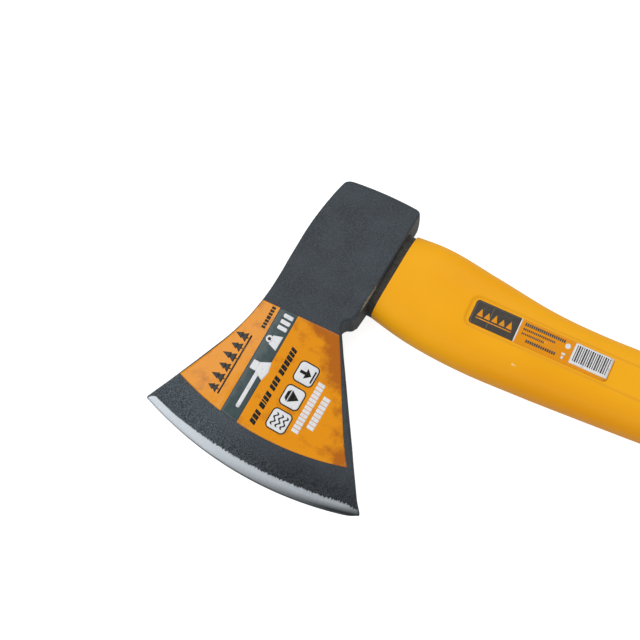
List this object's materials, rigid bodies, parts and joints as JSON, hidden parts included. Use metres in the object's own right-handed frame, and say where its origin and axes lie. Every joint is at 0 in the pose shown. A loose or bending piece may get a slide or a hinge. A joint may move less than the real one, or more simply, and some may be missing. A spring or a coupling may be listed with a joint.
{
  "type": "hatchet",
  "caption": "Small hatchet: forged steel head with a flared blade, resin-set in a fibreglass-cored plastic handle with a ribbed rubber grip and printed labels.",
  "frame": {"origin": "under the middle of the box, on the surface that the hatchet lies on", "axes": "+X along the handle from the head to the butt, +Y towards the poll with the cutting edge facing -Y, +Z out of the labelled cheek"},
  "size_m": [0.3997, 0.1452, 0.0268],
  "materials": {
    "head_enamel": "textured slate-grey enamel, with a bright ground bevel",
    "resin": "dark epoxy",
    "fibreglass": "pultruded glass and resin",
    "jacket": "semi-gloss yellow polypropylene",
    "grip": "matt black thermoplastic rubber",
    "head_film": "glossy printed film, orange with a charcoal stripe",
    "handle_film": "glossy printed film, orange and black"
  },
  "bodies": {
    "root": {"axe_head": "head_enamel", "eye_resin": "resin", "handle_core": "fibreglass", "handle_jacket": "jacket", "grip_sleeve": "grip", "head_label": "head_film", "handle_label": "handle_film"}
  },
  "joints": []
}
